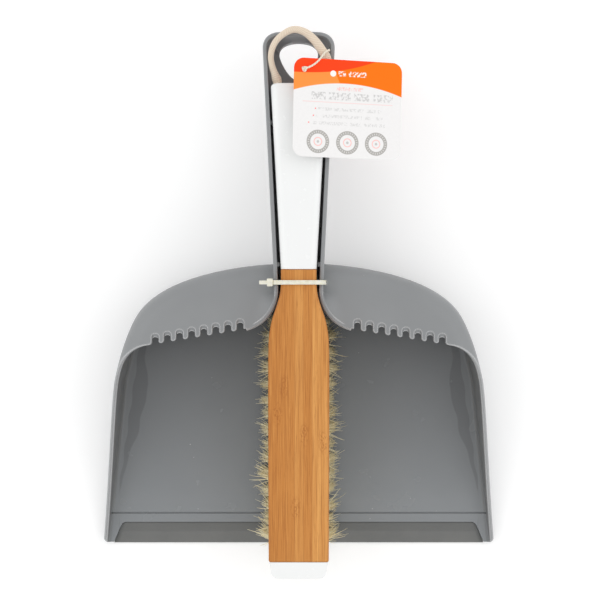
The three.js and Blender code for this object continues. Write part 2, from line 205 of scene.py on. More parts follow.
def catmull(points, per_span):
    """A centripetal Catmull-Rom line through points of any dimension."""
    source = [np.array(p, float) for p in points]
    source = [2 * source[0] - source[1]] + source + [2 * source[-1] - source[-2]]
    result = [source[1]]
    for i in range(1, len(source) - 2):
        p0, p1, p2, p3 = source[i - 1 : i + 3]
        t1 = np.linalg.norm(p1 - p0) ** 0.5
        t2 = t1 + np.linalg.norm(p2 - p1) ** 0.5
        t3 = t2 + np.linalg.norm(p3 - p2) ** 0.5
        for k in range(1, per_span + 1):
            t = t1 + (t2 - t1) * k / per_span
            a1 = (t1 - t) / t1 * p0 + t / t1 * p1
            a2 = (t2 - t) / (t2 - t1) * p1 + (t - t1) / (t2 - t1) * p2
            a3 = (t3 - t) / (t3 - t2) * p2 + (t - t2) / (t3 - t2) * p3
            b1 = (t2 - t) / t2 * a1 + t / t2 * a2
            b2 = (t3 - t) / (t3 - t1) * a2 + (t - t1) / (t3 - t1) * a3
            result.append((t2 - t) / (t2 - t1) * b1 + (t - t1) / (t2 - t1) * b2)
    return np.array(result)


def table_value(table, place):
    """The second column of a table at a place in its first column."""
    return float(np.interp(place, [row[0] for row in table], [row[1] for row in table]))


def finish_mesh(mesh, angle):
    """Smooth shading with a crease where faces meet at more than angle degrees."""
    mesh.polygons.foreach_set("use_smooth", [True] * len(mesh.polygons))
    mesh.set_sharp_from_angle(angle=math.radians(angle))


def make_piece(name, verts, faces, material, angle=35.0, weld=0.0):
    """A mesh object from vertices in millimetres."""
    builder = bmesh.new()
    made = [builder.verts.new(v) for v in verts]
    for face in faces:
        corners = [made[i] for i in face]
        if len(set(corners)) == len(corners):
            builder.faces.new(corners)
    if weld:
        bmesh.ops.remove_doubles(builder, verts=builder.verts, dist=weld)
        bmesh.ops.dissolve_degenerate(builder, edges=builder.edges, dist=weld)
    bmesh.ops.scale(builder, vec=(MM, MM, MM), verts=builder.verts)
    bmesh.ops.recalc_face_normals(builder, faces=builder.faces)
    mesh = bpy.data.meshes.new(name)
    builder.to_mesh(mesh)
    builder.free()
    finish_mesh(mesh, angle)
    mesh.materials.append(material)
    piece = bpy.data.objects.new(name, mesh)
    bpy.context.scene.collection.objects.link(piece)
    return piece


def strip_faces(rows, columns, closed=False, first=0):
    """Quads of a grid of rows x columns vertices numbered row by row; closed joins its sides."""
    faces = []
    for i in range(rows - 1):
        for j in range(columns if closed else columns - 1):
            a = first + i * columns
            b, c = a + j, a + (j + 1) % columns
            faces.append((b, c, c + columns, b + columns))
    return faces


def loft(sections):
    """Vertices and faces of a closed skin over rings of equal length."""
    rows, columns = len(sections), len(sections[0])
    verts = [tuple(p) for ring in sections for p in ring]
    faces = strip_faces(rows, columns, closed=True)
    faces.append(tuple(range(columns - 1, -1, -1)))
    last = (rows - 1) * columns
    faces.append(tuple(range(last, last + columns)))
    return verts, faces


def prism(outline, low, high):
    """Vertices and faces of an upright prism of a plan outline."""
    return loft([[(x, y, z) for x, y in outline] for z in (low, high)])


def boolean(piece, cutter, operation="DIFFERENCE"):
    """Joins or cuts piece with cutter, and deletes cutter."""
    modifier = piece.modifiers.new("cut", "BOOLEAN")
    modifier.operation = operation
    modifier.object = cutter
    modifier.solver = "MANIFOLD"
    graph = bpy.context.evaluated_depsgraph_get()
    mesh = bpy.data.meshes.new_from_object(piece.evaluated_get(graph))
    piece.modifiers.clear()
    old = piece.data
    piece.data = mesh
    bpy.data.meshes.remove(old)
    bpy.data.objects.remove(cutter)


def grey_prism(outline, low, high):
    """A prism that cuts or joins the pan."""
    return make_piece("cutter", *prism(outline, low, high), GREY)


def box_piece(low, high):
    (x0, y0, z0), (x1, y1, z1) = low, high
    return grey_prism([(x0, y0), (x1, y0), (x1, y1), (x0, y1)], z0, z1)


# ---------------------------------------------------------------- materials


def plug(tree, socket, value):
    """Links a wire to a socket, or sets a plain value or colour on it."""
    if isinstance(value, Wire):
        tree.links.new(value.socket, socket)
    elif socket.type == "RGBA":
        socket.default_value = (*value, 1)
    else:
        socket.default_value = value


class Wire:
    """An output in a material's nodes. Wires that carry numbers can be calculated with."""

    def __init__(self, tree, socket):
        self.tree, self.socket = tree, socket

    def math(self, operation, *others):
        node = self.tree.nodes.new("ShaderNodeMath")
        node.operation = operation
        for socket, value in zip(node.inputs, (self, *others)):
            plug(self.tree, socket, value)
        return Wire(self.tree, node.outputs["Value"])

    def __add__(self, other):
        return self.math("ADD", other)

    def __sub__(self, other):
        return self.math("SUBTRACT", other)

    def __rsub__(self, other):
        return self.math("MULTIPLY_ADD", -1.0, other)

    def __mul__(self, other):
        return self.math("MULTIPLY", other)

    def __truediv__(self, other):
        return self.math("DIVIDE", other)

    def __pow__(self, other):
        return self.math("POWER", other)

    def __abs__(self):
        return self.math("ABSOLUTE")

    def sine(self):
        return self.math("SINE")

    def root(self):
        return self.math("SQRT")


class Nodes:
    """A short way to write a procedural material."""

    def __init__(self, name, roughness, base=None):
        self.material = bpy.data.materials.new(name)
        self.material.use_nodes = True
        self.tree = self.material.node_tree
        self.shader = self.tree.nodes["Principled BSDF"]
        self.fix({"Roughness": roughness})
        if base:
            self.fix({"Base Color": (*base, 1)})

    def fix(self, values):
        """Sets values that are the same all over."""
        for name, value in values.items():
            self.shader.inputs[name].default_value = value

    def node(self, kind, output, inputs=None, **settings):
        """One output of a new node."""
        node = self.tree.nodes.new(kind)
        for key, value in settings.items():
            setattr(node, key, value)
        for key, value in (inputs or {}).items():
            plug(self.tree, node.inputs[key], value)
        return Wire(self.tree, node.outputs[output])

    def position(self, scale=(1, 1, 1), offset=(0, 0, 0)):
        """Object coordinates, in millimetres times scale, plus offset."""
        coords = self.node("ShaderNodeTexCoord", "Object")
        inputs = {"Vector": coords, "Scale": [s / MM for s in scale], "Location": offset}
        return self.node("ShaderNodeMapping", "Vector", inputs)

    def noise(self, vector, scale, detail=2.0, roughness=0.5):
        inputs = {"Vector": vector, "Scale": scale, "Detail": detail, "Roughness": roughness}
        return self.node("ShaderNodeTexNoise", "Fac", inputs)

    def ramp(self, value, low, high, to_low=0.0, to_high=1.0):
        """value moved from low..high to to_low..to_high, clamped."""
        inputs = {"Value": value, "From Min": low, "From Max": high, "To Min": to_low, "To Max": to_high}
        return self.node("ShaderNodeMapRange", "Result", inputs)

    def cloud(self, vector, scale, detail, low=0.0, high=1.0):
        """Noise that wanders between low and high."""
        return self.ramp(self.noise(vector, scale, detail), 0.3, 0.7, low, high)

    def mix(self, factor, a, b):
        return self.node("ShaderNodeMix", 2, {0: factor, 6: a, 7: b}, data_type="RGBA")

    def dot(self, a, b):
        return self.node("ShaderNodeVectorMath", "Value", {0: a, 1: b}, operation="DOT_PRODUCT")

    def vector(self, x=0.0, y=0.0, z=0.0):
        return self.node("ShaderNodeCombineXYZ", "Vector", {"X": x, "Y": y, "Z": z})

    def split(self, vector):
        return [self.node("ShaderNodeSeparateXYZ", axis, {"Vector": vector}) for axis in "XYZ"]

    def color(self, value):
        plug(self.tree, self.shader.inputs["Base Color"], value)

    def roughness(self, value):
        plug(self.tree, self.shader.inputs["Roughness"], value)

    def bump(self, height, distance, strength):
        """distance is in millimetres."""
        inputs = {"Height": height, "Distance": distance * MM, "Strength": strength}
        plug(self.tree, self.shader.inputs["Normal"], self.node("ShaderNodeBump", "Normal", inputs))


def grey_plastic():
    """Satin moulded polypropylene, glossier and cooler on the flat floor of the pan."""
    m = Nodes("grey_plastic", 0.42)
    place = m.position()
    x, y, z = m.split(place)
    on_floor = m.ramp(z, 3.6, 6.0, 1.0, 0.0)
    cloud = m.cloud(place, 0.02, 3)
    satin = m.mix(cloud, (0.236, 0.244, 0.250), (0.259, 0.267, 0.273))
    floor = m.mix(cloud, (0.223, 0.236, 0.246), (0.239, 0.252, 0.262))
    # painted shade: the floor grows darker towards the back, under the hood
    floor = m.mix(m.ramp(y, -125.0, -10.0, 0.0, 0.75), floor, (0.118, 0.124, 0.128))
    tone = m.mix(on_floor, satin, floor)
    # painted highlight: thin convex edges, found by a rounded normal, are made a little lighter
    reach = m.ramp(abs(x), 88.0, 94.0, 1.1 * MM, 2.0 * MM)
    rounded = m.node("ShaderNodeBevel", "Normal", {"Radius": reach}, samples=6)
    flat = m.node("ShaderNodeNewGeometry", "Normal")
    flat_x, _, flat_z = m.split(flat)
    edge = m.ramp(m.dot(rounded, flat), 0.995, 0.92) * m.ramp(flat_z, 0.1, 0.6)
    edge = edge * m.ramp(z, 5.0, 7.0) * m.ramp(y, 6.0, 16.0, 1.0, 0.35)
    tone = m.mix(edge, tone, (0.60, 0.605, 0.61))
    # painted shade: walls that face the middle of the pan are darker
    tone = m.mix(m.ramp(flat_x * x, -20.0, -60.0, 0.0, 0.4), tone, (0.12, 0.125, 0.13))
    # painted reflection: the side wall's dark streak, reflected along each edge of the floor
    share = m.ramp(y, -27.0, -118.0)
    outer = share * 12.9 + 100.9 + (y * 0.33).sine() * 0.45
    width = (share * 18.0 + 4.2).math("MINIMUM", share * -15.5 + 15.6).math("MINIMUM", 8.8)
    width = width + (y * 0.21).sine() * 0.6
    inside = outer - abs(x)
    painted_wall_reflection = m.ramp(inside, -0.3, 0.3) * m.ramp(width - inside, -0.3, 0.5)
    painted_wall_reflection = painted_wall_reflection * on_floor * m.ramp(y, -112.0, -30.0, 0.35, 0.62)
    tone = m.mix(painted_wall_reflection, tone, (0.10, 0.105, 0.11))
    dust = m.ramp(m.noise(place, 0.5, 1), 0.835, 0.845)
    m.color(m.mix(dust, tone, (0.50, 0.50, 0.50)))
    matt, glossy = m.cloud(place, 0.12, 4, 0.38, 0.5), m.cloud(place, 0.05, 3, 0.2, 0.28)
    m.roughness((glossy - matt) * on_floor + matt)
    m.bump(m.noise(place, 1.6, 2), 0.02, 0.5)
    m.fix({"IOR": 1.49})
    return m.material


def soft_lip_material():
    """Olive-grey rubber, with painted shade along its rear band and its slanting ends."""
    m = Nodes("soft_lip_rubber", 0.62)
    place = m.position()
    x, y, _ = m.split(place)
    tone = m.mix(m.cloud(place, 0.05, 3), (0.140, 0.143, 0.139), (0.160, 0.162, 0.156))
    # painted shade: a darker rear band, where the lip's top slopes, and darker slanting ends
    band = m.ramp(y, LIP_HIGH[1] - 6.2, LIP_HIGH[1] - 5.8, 0.0, 0.35)
    from_end = m.ramp(y, LIP_LOW[1], LIP_HIGH[1], LIP_HIGH[0], 111.6) - abs(x)
    dark = band.math("MAXIMUM", m.ramp(from_end, 3.4, 1.4))
    m.color(m.mix(dark, tone, (0.103, 0.107, 0.104)))
    m.roughness(m.cloud(place, 0.4, 3, 0.55, 0.72))
    m.bump(m.noise(place, 2.2, 2), 0.03, 0.6)
    return m.material


def white_plastic():
    m = Nodes("white_gloss_plastic", 0.25)
    place = m.position()
    m.color(m.mix(m.cloud(place, 0.03, 2), (0.855, 0.865, 0.86), (0.875, 0.883, 0.878)))
    m.roughness(m.cloud(place, 0.3, 3, 0.22, 0.28))
    return m.material


# where the bamboo's fibrous nodes lie
BAMBOO_NODES = ((-8.7, -48.9), (-12.9, -64.9), (3.5, -77.4), (14.3, -81.5), (-2.0, -121.0))


def bamboo_material():
    """Pressed strips of bamboo along Y, with fine fibres, dark seams, painted shade along the rounded edges
    and fibrous nodes.
    """
    m = Nodes("laminated_bamboo", 0.42)
    place = m.position()
    x, y, _ = m.split(place)
    strip_width = 5.3
    wander = m.noise(m.position((0.05, 0.02, 0.05)), 1.0, 1)
    across = (wander * 0.8 + x + 2.1) / strip_width
    strip = across.math("FLOOR")
    tone = m.node("ShaderNodeTexWhiteNoise", "Value", {"W": strip}, noise_dimensions="1D")
    shift = m.vector(strip * 37.0, tone * 90.0)
    own = m.node("ShaderNodeVectorMath", "Vector", {0: place, 1: shift}, operation="ADD")

    def stretched(scale_x, scale_y, detail, vector=own):
        inputs = {"Vector": vector, "Scale": (scale_x, scale_y, scale_x)}
        return m.noise(m.node("ShaderNodeMapping", "Vector", inputs), 1.0, detail, 0.62)

    light, mid, dark = (0.75, 0.365, 0.103), (0.53, 0.205, 0.041), (0.30, 0.095, 0.018)
    fibre = stretched(2.3, 0.035, 4)
    fleck = stretched(3.6, 0.12, 2)
    base = m.mix(tone, mid, light)
    base = m.mix(m.ramp(stretched(0.5, 0.010, 3), 0.35, 0.7, 0.0, 0.8), base, mid)
    base = m.mix(m.ramp(fibre, 0.50, 0.66, 0.0, 0.55), base, dark)
    base = m.mix(m.ramp(fibre, 0.34, 0.44, 0.35, 0.0), base, light)
    base = m.mix(m.ramp(fleck, 0.60, 0.72, 0.0, 0.45), base, dark)
    # the grain bends round each node in torn, darker rings
    warp = stretched(0.55, 0.22, 4, place) * 2.6 - 1.3
    torn = None
    for node_x, node_y in BAMBOO_NODES:
        off_x, off_y = (x - node_x) / 3.0, (y - node_y) / 7.0
        away = (off_x * off_x + off_y * off_y).root()
        rings = m.ramp(((away + warp) * 9.0).sine(), 0.0, 0.7) * m.ramp(away, 1.2, 0.5)
        torn = torn.math("MAXIMUM", rings) if torn else rings
    base = m.mix(torn * 0.6, base, (0.36, 0.115, 0.02))
    seam = m.ramp(abs(across.math("FRACT") - 0.5), 0.46, 0.5, 0.0, 0.4)
    base = m.mix(seam, base, dark)
    # painted shade: faces that turn away from straight up, round the plate's edges, are darker
    facing = m.split(m.node("ShaderNodeNewGeometry", "Normal"))[2]
    base = m.mix(m.ramp(facing, 0.98, 0.45, 0.0, 0.55), base, (0.42, 0.14, 0.022))
    end_grain = m.ramp(y, BAMBOO_HIGH[1] - 14.0, BAMBOO_HIGH[1] - 6.0, 0.0, 0.22)
    m.color(m.mix(end_grain, base, mid))
    m.roughness(m.ramp(fibre, 0.3, 0.7, 0.42, 0.58))
    m.bump(fibre - torn * 0.5, 0.06, 0.5)
    m.fix({"Specular IOR Level": 0.3})
    return m.material


def bristle_material():
    """Cream plant fibre, each bristle with its own tone, greyer towards the tips."""
    m = Nodes("bristle_fibre", 0.5)
    place = m.position()
    tone = m.node("ShaderNodeAttribute", "Fac", attribute_name="tone")
    cream = m.mix(tone, (1.0, 0.81, 0.43), (1.0, 0.92, 0.62))
    tips = m.ramp(m.split(place)[2], 6.0, 20.0, 0.6, 0.0)
    m.color(m.mix(tips, cream, (0.78, 0.74, 0.58)))
    m.roughness(m.cloud(place, 0.8, 2, 0.42, 0.6))
    m.fix({"Sheen Weight": 0.6, "Sheen Roughness": 0.5, "Sheen Tint": (1.0, 0.92, 0.7, 1)})
    return m.material


def woven(name, low, high, thread_along, thread_around, depth):
    """Twill: ribs that climb round the cord. The cord's UV holds millimetres along it and turns."""
    m = Nodes(name, 0.85)
    along, around, _ = m.split(m.node("ShaderNodeUVMap", "UV", uv_map="cord"))
    wave = ((along * thread_along + around * thread_around) * math.tau).sine()
    cross_wave = ((along * (thread_along * 2.3) - around * thread_around) * math.tau).sine()
    fuzz = m.noise(m.position(), 3.0, 3)
    mark = wave * 0.7 + cross_wave * 0.3
    shade = mark + (fuzz * 1.6 - 0.8)
    m.color(m.mix(m.ramp(shade, -1.1, 0.9), low, high))
    m.bump(mark + fuzz, depth, 0.8)
    m.fix({"Sheen Weight": 0.25, "Sheen Roughness": 0.6})
    return m.material


def nylon_material():
    m = Nodes("milky_nylon", 0.35)
    place = m.position()
    m.color(m.mix(m.cloud(place, 0.4, 3), (0.72, 0.70, 0.58), (0.84, 0.82, 0.72)))
    m.roughness(m.cloud(place, 1.1, 2, 0.3, 0.42))
    m.bump(m.noise(place, 1.8, 2), 0.02, 0.4)
    m.fix({"Subsurface Weight": 0.35, "Subsurface Radius": (0.002, 0.0018, 0.0012)})
    return m.material


def screw_material():
    m = Nodes("zinc_screw", 0.35)
    place = m.position()
    m.color(m.mix(m.cloud(place, 1.5, 3), (0.50, 0.50, 0.49), (0.66, 0.66, 0.64)))
    m.roughness(m.cloud(place, 2.5, 3, 0.28, 0.5))
    m.fix({"Metallic": 1.0})
    return m.material


def tag_material():
    """Printed card: a two-tone orange head over a curved edge, ruled grey lines and three rings."""
    m = Nodes("printed_card", 0.42)
    place = m.position(offset=[-c for c in TAG_CENTRE])
    turn_sin, turn_cos = math.sin(TAG_TURN), math.cos(TAG_TURN)
    droop_sin, droop_cos = math.sin(TAG_DROOP), math.cos(TAG_DROOP)
    width, height = TAG_SIZE
    u = m.dot(place, (turn_cos * droop_cos, turn_sin, -turn_cos * droop_sin)) + width / 2
    v = m.dot(place, (-turn_sin * droop_cos, turn_cos, turn_sin * droop_sin)) + height / 2
    uv = m.vector(u, v)

    def circle(cx, cy):
        dx, dy = u - cx, v - cy
        return (dx * dx + dy * dy).root()

    def above(value, edge):
        return m.ramp(value, edge - 0.12, edge + 0.12)

    def below(value, edge):
        return 1.0 - above(value, edge)

    def letters(stroke, seed):
        """Upright strokes about stroke millimetres wide, in uneven groups: no letter can be read."""
        fine = m.noise(m.vector(u / (2.2 * stroke), v * (0.35 / stroke), seed), 1.0, 1)
        groups = m.noise(m.vector(u, 0.0, seed), 0.16 / stroke, 0)
        return m.ramp(fine, 0.44, 0.58) * m.ramp(groups, 0.36, 0.42)

    def row(low, high, left, right):
        return above(u, left) * below(u, right) * above(v, low) * below(v, high)

    orange, pale, red = (1.0, 0.185, 0.004), (1.0, 0.305, 0.060), (1.0, 0.060, 0.008)
    white, coral, grey = (1.0, 0.94, 0.91), (1.0, 0.24, 0.20), (0.30, 0.30, 0.29)
    paper = m.mix(m.cloud(uv, 0.6, 3), (0.85, 0.84, 0.835), (0.875, 0.865, 0.86))
    # the head ends in a wide arc
    down = height - v
    head = m.mix(above(u - down * 0.43, 22.0), pale, orange)
    head = m.mix(above(8.6 - u**2.4 * 7.2e-4 - down, 0.0), head, red)
    face = m.mix(above(circle(31.5, -55.8), 100.0), paper, head)
    # rows of unreadable strokes stand in for all the lettering
    layers = [
        (below(circle(23.9, 49.8), 1.8), (1.0, 0.93, 0.90)),
        (row(48.4, 51.4, 27.2, 44.4) * letters(0.55, 3.0), white),
        (row(39.9, 42.0, 26.0, 42.5) * letters(0.4, 8.0) * 0.45, coral),
        (row(34.2, 38.6, 5.6, 61.0) * letters(0.6, 5.0) * 0.42, grey),
    ]
    for low, left, right in ((27.6, 15.0, 54.0), (23.4, 13.8, 55.0), (19.2, 11.0, 58.0)):
        layers.append((row(low, low + 1.9, left, right) * letters(0.4, low) * 0.26, grey))
        layers.append((below(circle(left - 1.6, low + 1.1), 0.42) * 0.8, (1.0, 0.10, 0.06)))
    layers.append((row(32.5, 32.9, 5.5, 61.0) * 0.3, coral))
    ring_y = 9.2
    for cx in (15.3, 33.4, 51.2):
        away = circle(cx, ring_y)
        teeth = ((v - ring_y).math("ARCTAN2", u - cx) * 26.0).sine()
        on_ring = above(away, 4.7) * below(away, 6.9)
        marks = above(away, 5.3) * below(away, 6.3) * m.ramp(teeth, 0.1, 0.6)
        layers.append((on_ring * 0.85, (0.36, 0.345, 0.32)))
        layers.append((on_ring * marks * 0.6, paper))
        layers.append((above(away, 2.1) * below(away, 2.6) * 0.55, coral))
        layers.append((below(away, 0.8) * 0.5, grey))
    for mask, ink in layers:
        face = m.mix(mask, face, ink)
    m.color(face)
    m.roughness(m.cloud(uv, 2.0, 3, 0.34, 0.5))
    m.bump(m.noise(uv, 1.5, 3), 0.01, 0.4)
    m.fix({"Specular IOR Level": 0.12})
    return m.material


GREY = grey_plastic()
WHITE = white_plastic()

# ---------------------------------------------------------------- dustpan


def pan_outline():
    """Right half of the hood and tray seen from above, from the back middle to the front."""
    points = [(0.0, 25.0)]
    points += line((0, 25.0), (16, 24.7), 16)
    points += bezier((16, 24.7), (48, 22.5), (83, 14.5), (97, -4.2), 110)
    points += bezier((97, -4.2), (103, -12.2), (109.5, -31), (112.5, -48), 60)
    points += line((112.5, -48), (123.1, PAN_FRONT - 2.0), 100)
    return np.array(points)


OUTLINE = pan_outline()
OUTLINE_RUN = run_along(OUTLINE)
OUTLINE_IN = tangents_of(OUTLINE, OUTLINE_RUN)[:, ::-1] * (1, -1)


def on_outline(run):
    """(point, inward normal) at a distance along the outline."""
    point = np.array([np.interp(run, OUTLINE_RUN, OUTLINE[:, k]) for k in (0, 1)])
    inward = np.array([np.interp(run, OUTLINE_RUN, OUTLINE_IN[:, k]) for k in (0, 1)])
    return point, inward / np.linalg.norm(inward)


def project_run(point):
    """Distance along the outline to the place nearest to a point, found between its samples."""
    runs = np.linspace(OUTLINE_RUN[0], OUTLINE_RUN[-1], 6000)
    xs, ys = (np.interp(runs, OUTLINE_RUN, OUTLINE[:, k]) for k in (0, 1))
    return float(runs[int(np.argmin((xs - point[0]) ** 2 + (ys - point[1]) ** 2))])


def bell_line(count):
    """Right half of the bell-shaped mouth, from the comb to the neck."""
    return [COMB_INNER] + bezier(COMB_INNER, (18, -11.5), (NECK_HALF, -1), (NECK_HALF, NECK_Y), count)


def channel_line():
    """Right half of the channel's inner side, from the neck to the middle of its end."""
    end = CHANNEL_END - CHANNEL_WALL
    corner = (CHANNEL_END_HALF, end - CHANNEL_CORNER)
    points = line((NECK_HALF, NECK_Y), corner, 50)
    points += bezier(corner, (CHANNEL_END_HALF + 0.1, end - 3.0), (16.4, end - 0.5), (11.0, end - 0.35), 16)
    points += line((11.0, end - 0.35), (0, end), 12)
    return points


# the side wall's sloping rim, by place along Y and height
RIM_START = (-45.0, 40.9)
RIM = [RIM_START] + bezier(RIM_START, (-70, 39.5), (-110, 14), (PAN_FRONT - 1, 6.6), 60)

STRAIGHT = HOOD_TOP - HOOD_ROUND
ARC = HOOD_ROUND * math.pi / 2


def wall_path(run):
    """The wall's outer line from the ground up and inward: (inset, height, normal)."""
    if run < STRAIGHT:
        return 0.0, run, (-1.0, 0.0)
    if run < STRAIGHT + ARC:
        turn = (run - STRAIGHT) / HOOD_ROUND
        inset = HOOD_ROUND * (1 - math.cos(turn))
        height = STRAIGHT + HOOD_ROUND * math.sin(turn)
        return inset, height, (-math.cos(turn), math.sin(turn))
    return HOOD_ROUND + run - STRAIGHT - ARC, HOOD_TOP, (0.0, 1.0)


def run_of_inset(inset):
    if inset >= HOOD_ROUND:
        return STRAIGHT + ARC + inset - HOOD_ROUND
    return STRAIGHT + HOOD_ROUND * math.acos(1 - inset / HOOD_ROUND)


def run_of_height(height):
    if height <= STRAIGHT:
        return height
    return STRAIGHT + HOOD_ROUND * math.asin(min((height - STRAIGHT) / HOOD_ROUND, 1.0))


def comb_slot(i, rise):
    """One slot of the right half's comb, along its edge from the inner side to the outer one."""
    slots = COMB_TEETH + 1
    span = np.array(COMB_OUTER) - np.array(COMB_INNER)
    share = (i + 0.54) / slots
    middle = np.array(COMB_INNER) + span * share + (0.0, COMB_BACK * (1 - share))
    slope = (span[1] - COMB_BACK) / span[0]
    root = 4.6 - 0.5 * i / slots
    half = COMB_SLOT / 2
    corner = 1.6
    flank = [(half + corner * (1 - sine), corner * (1 - cosine)) for sine, cosine in quarter(6)]
    arch = [
        (half - corner * (1 - cosine), root + rise - corner * (1 - sine)) for sine, cosine in quarter(6)
    ]
    arch.append((0.0, root + rise))
    left = [(-x, y - x * slope) for x, y in flank] + [(-x, y) for x, y in arch]
    right = [(x, y + x * slope) for x, y in flank] + arch[:-1]
    return [(middle[0] + x, middle[1] + y) for x, y in left + right[::-1]]


# the slot's section by height: how far its flanks lie outside it, and how much deeper its root is
SLOT_FLARE = (
    (47.0, 0.4, 0.0), (48.1, 0.3, 0.0), (48.25, 0.12, 0.0), (48.4, 0.03, 0.0), (48.6, 0.0, 0.3),
    (49.1, 0.0, 1.2), (49.4, 0.06, 1.5), (49.65, 0.16, 1.7), (49.82, 0.3, 1.8), (49.95, 0.48, 1.85),
    (50.3, 0.75, 1.85),
)


def comb_cutter(side):
    verts, faces = [], []
    for i in range(COMB_TEETH + 1):
        rings = []
        for z, flare, rise in SLOT_FLARE:
            edge = offset_line(comb_slot(i, rise), -flare)
            edge = [(edge[0][0], edge[0][1] - 4.0), *edge, (edge[-1][0], edge[-1][1] - 4.0)]
            rings.append([(x * side, y, z) for x, y in edge])
        more_verts, more_faces = loft(rings)
        faces += [tuple(k + len(verts) for k in face) for face in more_faces]
        verts += more_verts
    return make_piece("cutter", verts, faces, GREY)


SPINE_END = -10.0
EDGE_DROPS = ((1.2, 0.0), (0.6, 0.0), (0.3, 0.08), (0.1, 0.28), (0.0, 0.6))
FLOOR_ROUND = 2.8
WALL_ROWS = 30
ROOF_ROWS = 20


def lip_rise(y):
    """How high the bell's lip stands over the hood's roof at a place along Y."""
    return (CHANNEL_TOP - HOOD_TOP) * smooth_step((y - COMB_INNER[1]) / 24.0)


def hood_stations():
    """Stations of the hood's right half: (outline run, edge point, edge normal, rounding, swell).

    swell is how high the roof rises towards the edge and over what width.
    """
    neck_x = NECK_HALF + CHANNEL_WALL / 2
    back = [(neck_x * k / 8, NECK_Y) for k in range(8)]
    bell = offset_line(bell_line(40), CHANNEL_WALL / 2)[::-1]
    comb = []
    for k, (x, y) in enumerate(line(COMB_INNER, COMB_OUTER, 60), 1):
        at_bell = (CHANNEL_WALL / 2 - COMB_BACK) * (1 - smooth_step(k / 4))
        comb.append((x, y + COMB_BACK * (1 - k / 60) + at_bell))
    edge = back + bell + comb
    neck_run, comb_start, comb_end = 14.0, project_run(COMB_INNER), project_run(COMB_OUTER)
    stations = []
    for i, ((x, y), (tx, ty)) in enumerate(zip(edge, directions(edge))):
        swell = (0.0, 1.0)
        if i < len(back):
            run, rounding = x / neck_x * (neck_run - 0.5), 0.3
        elif i < len(back) + len(bell):
            share = (i - len(back)) / (len(bell) - 1)
            run, rounding = lerp(neck_run, comb_start, share), lerp(0.3, 1.0, share)
            swell = (0.9 * lip_rise(y), lerp(1.6, 15.0, smooth_step((NECK_Y - 1 - y) / 15)))
        else:
            share = (i - len(back) - len(bell) + 1) / len(comb)
            run, rounding = lerp(comb_start, comb_end, share), 1.0
        stations.append((run, (x, y), (-ty, tx), rounding, swell))
    return stations


def station_profile(run, roof_end=None, end_run=0.0, wall_share=0.8, thick=ROOF_THICK):
    """One closed half profile of hood and tray, from the middle of the underside round to the floor.

    roof_end is (edge point, edge normal, rounding, swell) where the wall goes on as the hood's
    roof. Elsewhere the wall's line stops at end_run.
    """
    outer, inward = on_outline(run)
    if run == 0:
        inward = np.array([0.0, -1.0])
    spine = np.array([0.0, lerp(SPINE_END, PAN_FRONT, run / OUTLINE_RUN[-1])])
    points = []

    def push(xy, z):
        points.append((float(xy[0]), float(xy[1]), float(z)))

    def wall_point(along, depth):
        inset, height, normal = wall_path(along)
        return outer + inward * (inset - normal[0] * depth), height - normal[1] * depth

    if roof_end:
        edge, edge_normal, rounding, (swell, swell_width) = roof_end
        edge, edge_normal = np.array(edge), np.array(edge_normal)
        roof_start = outer + inward * HOOD_ROUND
        roof_stop = edge + edge_normal * EDGE_DROPS[0][0] * rounding
        wall_end = main_end = STRAIGHT + ARC
    else:
        main_end = end_run - EDGE_DROPS[0][0]
        wall_end = main_end * wall_share

    def roof_height(xy):
        away = float(np.linalg.norm(xy - edge))
        return HOOD_TOP + swell * smooth_step(1 - away / swell_width) ** 1.5

    def roof(depth):
        """The rows that run over the roof, or their like on a wall that stops short of it."""
        rows = []
        for k in range(1, ROOF_ROWS + 1):
            if roof_end:
                xy = lerp(roof_start, roof_stop, 1 - (1 - k / ROOF_ROWS) ** 1.5)
                rows.append((xy, roof_height(xy) - depth))
            else:
                rows.append(wall_point(lerp(wall_end, main_end, k / ROOF_ROWS), depth))
        return rows

    def edge_point(reach, depth):
        if roof_end:
            xy = edge + edge_normal * reach * rounding
            return xy, roof_height(xy) - depth
        return wall_point(end_run - reach, depth)

    inner_start = PAN_FLOOR + FLOOR_ROUND
    push(spine, 0)
    for share in (0.5, 0.85):
        push(lerp(spine, outer + inward * 1.2, share), 0)
    push(outer + inward * 1.2, 0)
    push(outer + inward * 0.35, 0.35)
    for k in range(WALL_ROWS + 1):
        push(*wall_point(lerp(1.2, wall_end, k / WALL_ROWS), 0))
    for xy, z in roof(0)[:-1]:
        push(xy, z)
    for reach, drop in EDGE_DROPS:
        push(*edge_point(reach, drop))
    for reach, drop in reversed(EDGE_DROPS):
        push(*edge_point(reach, thick - drop))
    for xy, z in roof(thick)[-2::-1]:
        push(xy, z)
    for k in range(WALL_ROWS + 1):
        along = lerp(max(wall_end, inner_start), inner_start, k / WALL_ROWS)
        push(*wall_point(along, lerp(thick, PAN_WALL, smooth_step(k / WALL_ROWS))))
    for sine, cosine in quarter(5, 1):
        inset = PAN_WALL + FLOOR_ROUND * (1 - cosine)
        push(outer + inward * inset, PAN_FLOOR + FLOOR_ROUND * (1 - sine))
    corner = outer + inward * (PAN_WALL + FLOOR_ROUND)
    for share in (0.1, 0.4, 1.0):
        push(lerp(corner, spine, share), PAN_FLOOR)
    return points


